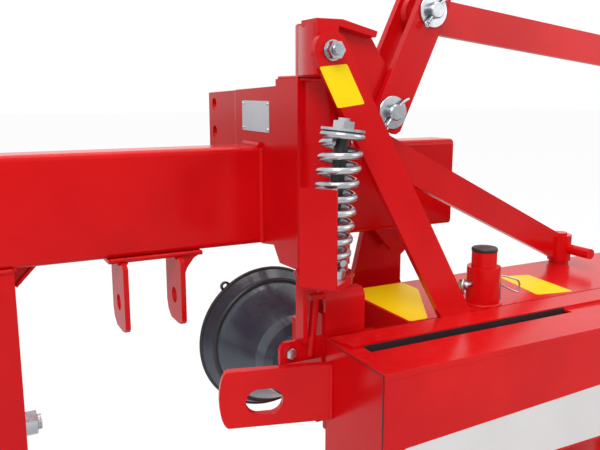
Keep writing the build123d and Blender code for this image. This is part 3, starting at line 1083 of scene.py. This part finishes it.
@dataclass
class EyePlate:
    """The slotted eye plate, with its bowed free end and eased edges."""

    shop: Workshop
    foot: Vector = field(default_factory=lambda: at(-36, -80, 0))
    turn_deg: float = -15.7
    thickness: float = 12.0
    top: float = -118.0
    bottom: float = -192.0
    root_x: float = 3.8
    end_x: float = -126.0
    bow: float = 12.0
    slot_middle: Pair = (-82.0, -160.0)
    slot_run: float = 6.5
    slot_radius: float = 16.5

    def build(self) -> None:
        """Cuts the plate, which stands for the plain CAD one."""
        middle, half = (self.top + self.bottom) / 2, (self.top - self.bottom) / 2
        angles = [math.pi / 2 * (k / 10 - 1) for k in range(21)]
        end = [(self.end_x - self.bow * math.cos(a), middle + half * math.sin(a)) for a in angles]
        outer = [(self.root_x, self.bottom), *end, (self.root_x, self.top)]
        slot_x, slot_z = self.slot_middle
        inner = [(slot_x + math.copysign(self.slot_run, x) + x, slot_z + z)
                 for x, z in around(40, self.slot_radius, start=math.tau / 80)]
        work = bmesh.new()
        for loop in (outer, inner):
            points = [work.verts.new(Vector((x, 0, z)) * MM) for x, z in loop]
            for k, point in enumerate(points):
                work.edges.new((point, points[(k + 1) % len(points)]))
        bmesh.ops.triangle_fill(work, use_beauty=True, edges=work.edges)
        grown = bmesh.ops.extrude_face_region(work, geom=work.faces[:])
        far = [item for item in grown["geom"] if isinstance(item, bmesh.types.BMVert)]
        bmesh.ops.translate(work, verts=far, vec=ALONG_Y * self.thickness * MM)
        work.transform(Matrix.Translation(self.foot) @ Matrix.Rotation(math.radians(self.turn_deg), 4, "Z"))
        self.shop.add("eye_plate_cut", work, Body.UNIT, Slot.PAINT, replaces=["eye_plate"], ease=1.0)


@dataclass
class BoxFolds:
    """The sheet edges and seams of the rear box, and painted shade in its slot: a thin black strip that
    stands for the slot's shadow.
    """

    shop: Workshop
    left: float = -32.0
    right: float = 619.5
    far: float = -73.0
    lid: float = DECK_TOP + 0.8
    proud: float = 0.9
    sheet: float = 2.2
    bend: float = 8.0
    seam: float = 0.75
    foot: float = BOX_BOTTOM + 0.4

    def build(self) -> None:
        """Lays the lid's turned-down edges, the seams below them, and a thin black strip in the slot as
        painted shade.
        """
        black = self.shop.finishes.black
        outer, near = self.left - self.proud, BOX_NEAR - self.proud
        folds = bmesh.new()
        block(folds, (outer, self.left), (BOX_NEAR, self.far), self.lid, -self.sheet)
        block(folds, (outer, self.right), (near, BOX_NEAR), self.lid, -self.bend)
        self.shop.add("box_folds", folds, Body.UNIT, Slot.PAINT, ease=0.4)
        side, under, corner = self.left - 0.3, self.lid - self.sheet - 0.6, BOX_NEAR + 2.4
        seams = {"box_seam_side": [at(side, self.far, under), at(side, BOX_NEAR + 1, under)],
                 "box_seam_corner": [at(side, corner, under), at(side, corner, self.foot)]}
        for name, line in seams.items():
            self.shop.install(wire(name, line, self.seam), Body.UNIT, Slot.PLASTIC, black)
        # painted shade: a thin upright black strip in the slot, standing for the shadow in the slot's hollow
        shade = bmesh.new()
        block(shade, (-7.0, 330.0), (-113.6, -112.9), -100.0, 12.4)
        self.shop.add("slot_shade", shade, Body.UNIT, Slot.PLASTIC, black)


# pins, caps and fasteners


@dataclass
class Hardware:
    """Threads, split pins, the linch pin, the post's cap, the bell's beads, the input shaft, bolts."""

    shop: Workshop
    shaft_start: float = -58.0
    journal_radius: float = 24.95
    journal_length: float = 124.0
    spline_radius: float = 17.4
    spline_depth: float = 2.9
    spline_length: float = 84.0
    spline_half_deg: float = 14.0
    splines: int = 6
    split_pin_face: float = -68.0
    linch_pin_level: float = -58.0
    disc_level: float = -593.0
    drum_top: float = -268.0
    tower_foot: Point = (985.0, 30.0, -82.0)

    def build(self) -> None:
        """Makes every small piece."""
        self._threads()
        self._split_pins()
        self._linch_pin()
        self._cap()
        self._bell_bead()
        self._splined_shaft()
        self._bolts()

    def _threads(self) -> None:
        """Threads of the stay bolt and the hitch pins."""
        stay, hitch = bmesh.new(), bmesh.new()
        turned(stay, thread_profile(6.3, 5.0, 1.75), at(-32, -85, 262.5), -ALONG_Y)
        for x, inward in ((-360, ALONG_X), (171, -ALONG_X)):
            turned(hitch, thread_profile(10.3, 6.0, 2.5), at(x, 140, -218), inward)
        self.shop.add("stay_bolt_thread", stay, Body.UNIT, Slot.ZINC)
        self.shop.add("hitch_pin_threads", hitch, Body.HEAD, Slot.ZINC)

    def _split_pins(self) -> None:
        """A split pin with its eye through the rear end of each lever pin."""
        lean, hook = Vector((0.62, 0, 0.78)) * MM, Vector((5, 1, -2)) * MM
        for name, (x, z) in LEVER_PINS.items():
            middle = at(x, self.split_pin_face, z)
            leg = [middle - lean * 20, middle, middle + lean * 17, middle + lean * 24 + hook]
            eye = [middle - lean * 22 + Vector((dx, 0, dz)) * MM for dx, dz in around(8, 3.4)]
            self.shop.install(wire(f"lever_split_pin_{name}", leg, 1.9), Body.UNIT, Slot.ZINC)
            self.shop.install(wire(f"lever_split_eye_{name}", eye, 1.5, True), Body.UNIT, Slot.ZINC)

    def _linch_pin(self) -> None:
        """The linch pin across the guard socket, with its ring, bail and tie."""
        x, y = SOCKET
        work = bmesh.new()
        turned(work, rod_profile(4.9, 66, 1.2), at(x - 34, y, self.linch_pin_level), ALONG_X)
        turned(work, rod_profile(8.5, 9, 2.0), at(x - 42, y, self.linch_pin_level), ALONG_X)
        self.shop.add("linch_pin", work, Body.UNIT, Slot.ZINC)
        table = (  # name, radius, closed, points sideways from the socket's middle and up from the axis
            ("ring", 1.7, True, [(-40, -4, -46), (-48, -8, -58), (-42, -6, -72), (-33, -2, -62)]),
            ("bail", 1.4, False, [(26, 0, -50), (50, 0, -57), (73, 0, -65), (72, 0, -80), (70, 0, -84),
                                  (44, 0, -72), (30, 0, -63)]),
            ("tie", 1.1, False, [(25.5, -8, -44), (26, -9, -66), (25, -10, -86)]),
        )
        for name, radius, closed, points in table:
            line = [at(x + dx, y + dy, z) for dx, dy, z in points]
            self.shop.install(wire(f"linch_pin_{name}", line, radius, closed), Body.UNIT, Slot.ZINC)

    def _cap(self) -> None:
        """The black cap in the top of the guard post."""
        work = bmesh.new()
        outline = [(0, -8), (14.6, -8), (14.9, 0), (18.1, 0.1), (18.7, 1.2), (18.7, 4.2), (17.4, 5.8),
                   (10, 7.2), (0, 7.4)]
        turned(work, outline, at(*SOCKET, -12), UP, 48)
        self.shop.add("guard_post_cap", work, Body.POST, Slot.PLASTIC, self.shop.finishes.black)

    def _bell_bead(self) -> None:
        """The black bead around the bell's mouth, and a black ring in its throat that is painted shade for
        the dark step groove.
        """
        work = bmesh.new()
        table = (  # ring's radius, place along the shaft, section's reach outwards and along the shaft
            (111.6, 185, 3.3, 3.3),
            # the throat ring: painted shade, a black torus laid in the step groove where shade falls
            (97.0, 162, 4.95, 2.97),
        )
        for ring_radius, y, reach, across in table:
            section = [(ring_radius + out, height) for out, height in around(12, reach, across)]
            turned(work, section, at(0, y, SHAFT_Z), ALONG_Y, 96)
        self.shop.add("bell_bead", work, Body.UNIT, Slot.PLASTIC, self.shop.finishes.black, smooth=60.0)

    def _splined_shaft(self) -> None:
        """The input shaft with its six-splined end, which stands for the plain CAD cylinder."""
        work = bmesh.new()
        crest, root = self.spline_radius, self.spline_radius - self.spline_depth
        pitch, half = math.tau / self.splines, math.radians(self.spline_half_deg)
        tooth = ((-half, root), (-half, crest), (0.0, crest), (half, crest), (half, root), (pitch / 2, root))
        outline = [(radius * math.cos(pitch * k + turn), radius * math.sin(pitch * k + turn))
                   for k in range(self.splines) for turn, radius in tooth]
        shoulder = self.shaft_start + self.journal_length
        section = [at(x, shoulder, SHAFT_Z + z) for x, z in outline]
        slab(work, section, ALONG_Y * self.spline_length * MM)
        journal = rod_profile(self.journal_radius, self.journal_length, 1.5)
        turned(work, journal, at(0, self.shaft_start, SHAFT_Z), ALONG_Y, 64)
        self.shop.add("splined_shaft", work, Body.SHAFT, Slot.STEEL, replaces=["input_shaft"], smooth=30.0)

    def _bolts(self) -> None:
        """Bolt heads on the deck, the tower's foot, the hinge tab, the drums' lids and the knives."""
        heads = HexHeads(self.shop)
        deck = [Hex((DRUMS_X[1] + dx, DRUM_Y + dy, DECK_TOP), UP, 16, 7)
                for dx, dy in around(8, 88, 74, math.tau / 16)]
        x, y, z = self.tower_foot
        foot = [Hex((x + dx, y + dy, z), UP, 18, 8) for dx in (-88, 88) for dy in (-30, 30)]
        tab = [Hex((-78, -54, -104), -ALONG_Y, 13, 6)]
        heads.grow("unit_bolts", deck + foot + tab, Body.UNIT)
        for body, x, turn in zip((Body.DRUM_LEFT, Body.DRUM_RIGHT), DRUMS_X, (30, 90)):
            knives = [Hex((x + dx, DRUM_Y + dy, self.disc_level), UP, 24, 9)
                      for dx, dy in around(3, 365, start=math.radians(turn))]
            lid = [Hex((x + dx, DRUM_Y + dy, self.drum_top), UP, 13, 4) for dx, dy in around(6, 120)]
            heads.grow(f"{body.value}_bolts", knives + lid, body)


# camera, light, floor


@dataclass
class Studio:
    """Camera at the photograph's place, soft lamps and a pale floor."""

    lens_mm: float = 42.0
    place: Vector = field(default_factory=lambda: Vector((-0.4466, -0.9445, 0.3865)))
    pitch: float = -10.78
    heading: float = -27.31
    white: float = 1.0
    world_strength: float = 0.46
    floor_white: float = 1.12
    floor_share: float = 0.8
    floor_reach: float = 30.0

    def build(self) -> None:
        """Sets the camera, lamps, world and floor."""
        self._camera()
        self._world()
        self._lamps()
        self._floor()
        bpy.context.scene.view_settings.view_transform = "Standard"

    def _camera(self) -> None:
        """Puts the camera where the photograph was taken."""
        data = bpy.data.cameras.new("photo_camera")
        data.lens, data.sensor_width, data.sensor_fit = self.lens_mm, 36.0, "HORIZONTAL"
        data.clip_start = 0.02
        camera = linked("photo_camera", data)
        camera.location = self.place
        camera.rotation_euler = (math.radians(90 + self.pitch), 0.0, math.radians(self.heading))
        bpy.context.scene.camera = camera

    def _world(self) -> None:
        """White to the camera and to reflections, a plain level of light for the rest."""
        world = bpy.data.worlds.new("studio")
        world.use_nodes = True
        graph = Graph(world.node_tree)
        seen = graph.node("ShaderNodeLightPath", out="Is Camera Ray")
        for other in ("Is Glossy Ray", "Is Transmission Ray"):
            seen = seen.larger(graph.node("ShaderNodeLightPath", out=other))
        strength = seen * (self.white - self.world_strength) + self.world_strength
        back = graph.node("ShaderNodeBackground", None, {"Color": solid(1, 1, 1), "Strength": strength})
        graph.node("ShaderNodeOutputWorld", None, {"Surface": back})
        bpy.context.scene.world = world

    def _lamps(self) -> None:
        """Three large soft lamps."""
        target = at(60, 40, 60)
        table = (  # name, place, width, watts
            ("key", (-1.6, -2.2, 2.6), 1.6, 68.0),
            ("top", (0.4, 0.2, 3.0), 2.4, 42.0),
            ("fill", (2.6, -2.0, 1.2), 2.0, 18.0),
        )
        for name, place, width, watts in table:
            data = bpy.data.lights.new(name, "AREA")
            data.shape, data.size, data.energy = "SQUARE", width, watts
            lamp = linked(name, data)
            lamp.location = place
            lamp.rotation_euler = (target - Vector(place)).to_track_quat("-Z", "Y").to_euler()

    def _floor(self) -> None:
        """A pale floor under the skid dishes, white to the camera but for the shadow."""
        low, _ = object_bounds()
        mesh = bpy.data.meshes.new("floor")
        square = [(x * self.floor_reach, y * self.floor_reach, low[2])
                  for x, y in ((-1, -1), (1, -1), (1, 1), (-1, 1))]
        mesh.from_pydata(square, [], [(0, 1, 2, 3)])
        floor = linked("floor", mesh)
        pale = bpy.data.materials.new("pale_floor")
        pale.use_nodes = True
        graph = Graph(pale.node_tree)
        diffuse = graph.node("ShaderNodeBsdfDiffuse", None, {"Color": solid(0.86, 0.86, 0.86)})
        glow = graph.node("ShaderNodeEmission", None, {"Color": solid(1, 1, 1), "Strength": self.floor_white})
        share = graph.node("ShaderNodeLightPath", out="Is Camera Ray") * self.floor_share
        mixed = graph.node("ShaderNodeMixShader", None, {0: share, 1: diffuse, 2: glow})
        graph.node("ShaderNodeOutputMaterial", None, {"Surface": mixed})
        mesh.materials.append(pale)
        floor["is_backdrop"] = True


def dress_nodes(frame: dict[str, Any], finishes: Finishes) -> None:
    """Gives every CAD node its slot's finish.

    Args:
        finishes: the machine's finishes.
    """
    slots = {part["node"]: part["material_slot"] for part in frame["record"]["subparts"]}
    for name, node in frame["nodes"].items():
        node.data.materials.clear()
        node.data.materials.append(finishes.for_slot(Slot(slots[name])))
        LOG.info("node %s in %s", name, slots[name])


def main() -> None:
    """Builds the machine's looks in order."""
    logging.basicConfig(level=logging.INFO, format="%(name)s: %(message)s")
    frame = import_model()
    finishes = Finishes()
    shop = Workshop(finishes)
    dress_nodes(frame, finishes)
    ReliefSpring(shop).build()
    Plates(shop).build()
    HeadLinkage(shop).build()
    EyePlate(shop).build()
    BoxFolds(shop).build()
    Hardware(shop).build()
    Welds(shop).build()
    Studio().build()
    LOG.info("%d pieces added", shop.count)


if __name__ == "__main__":
    main()
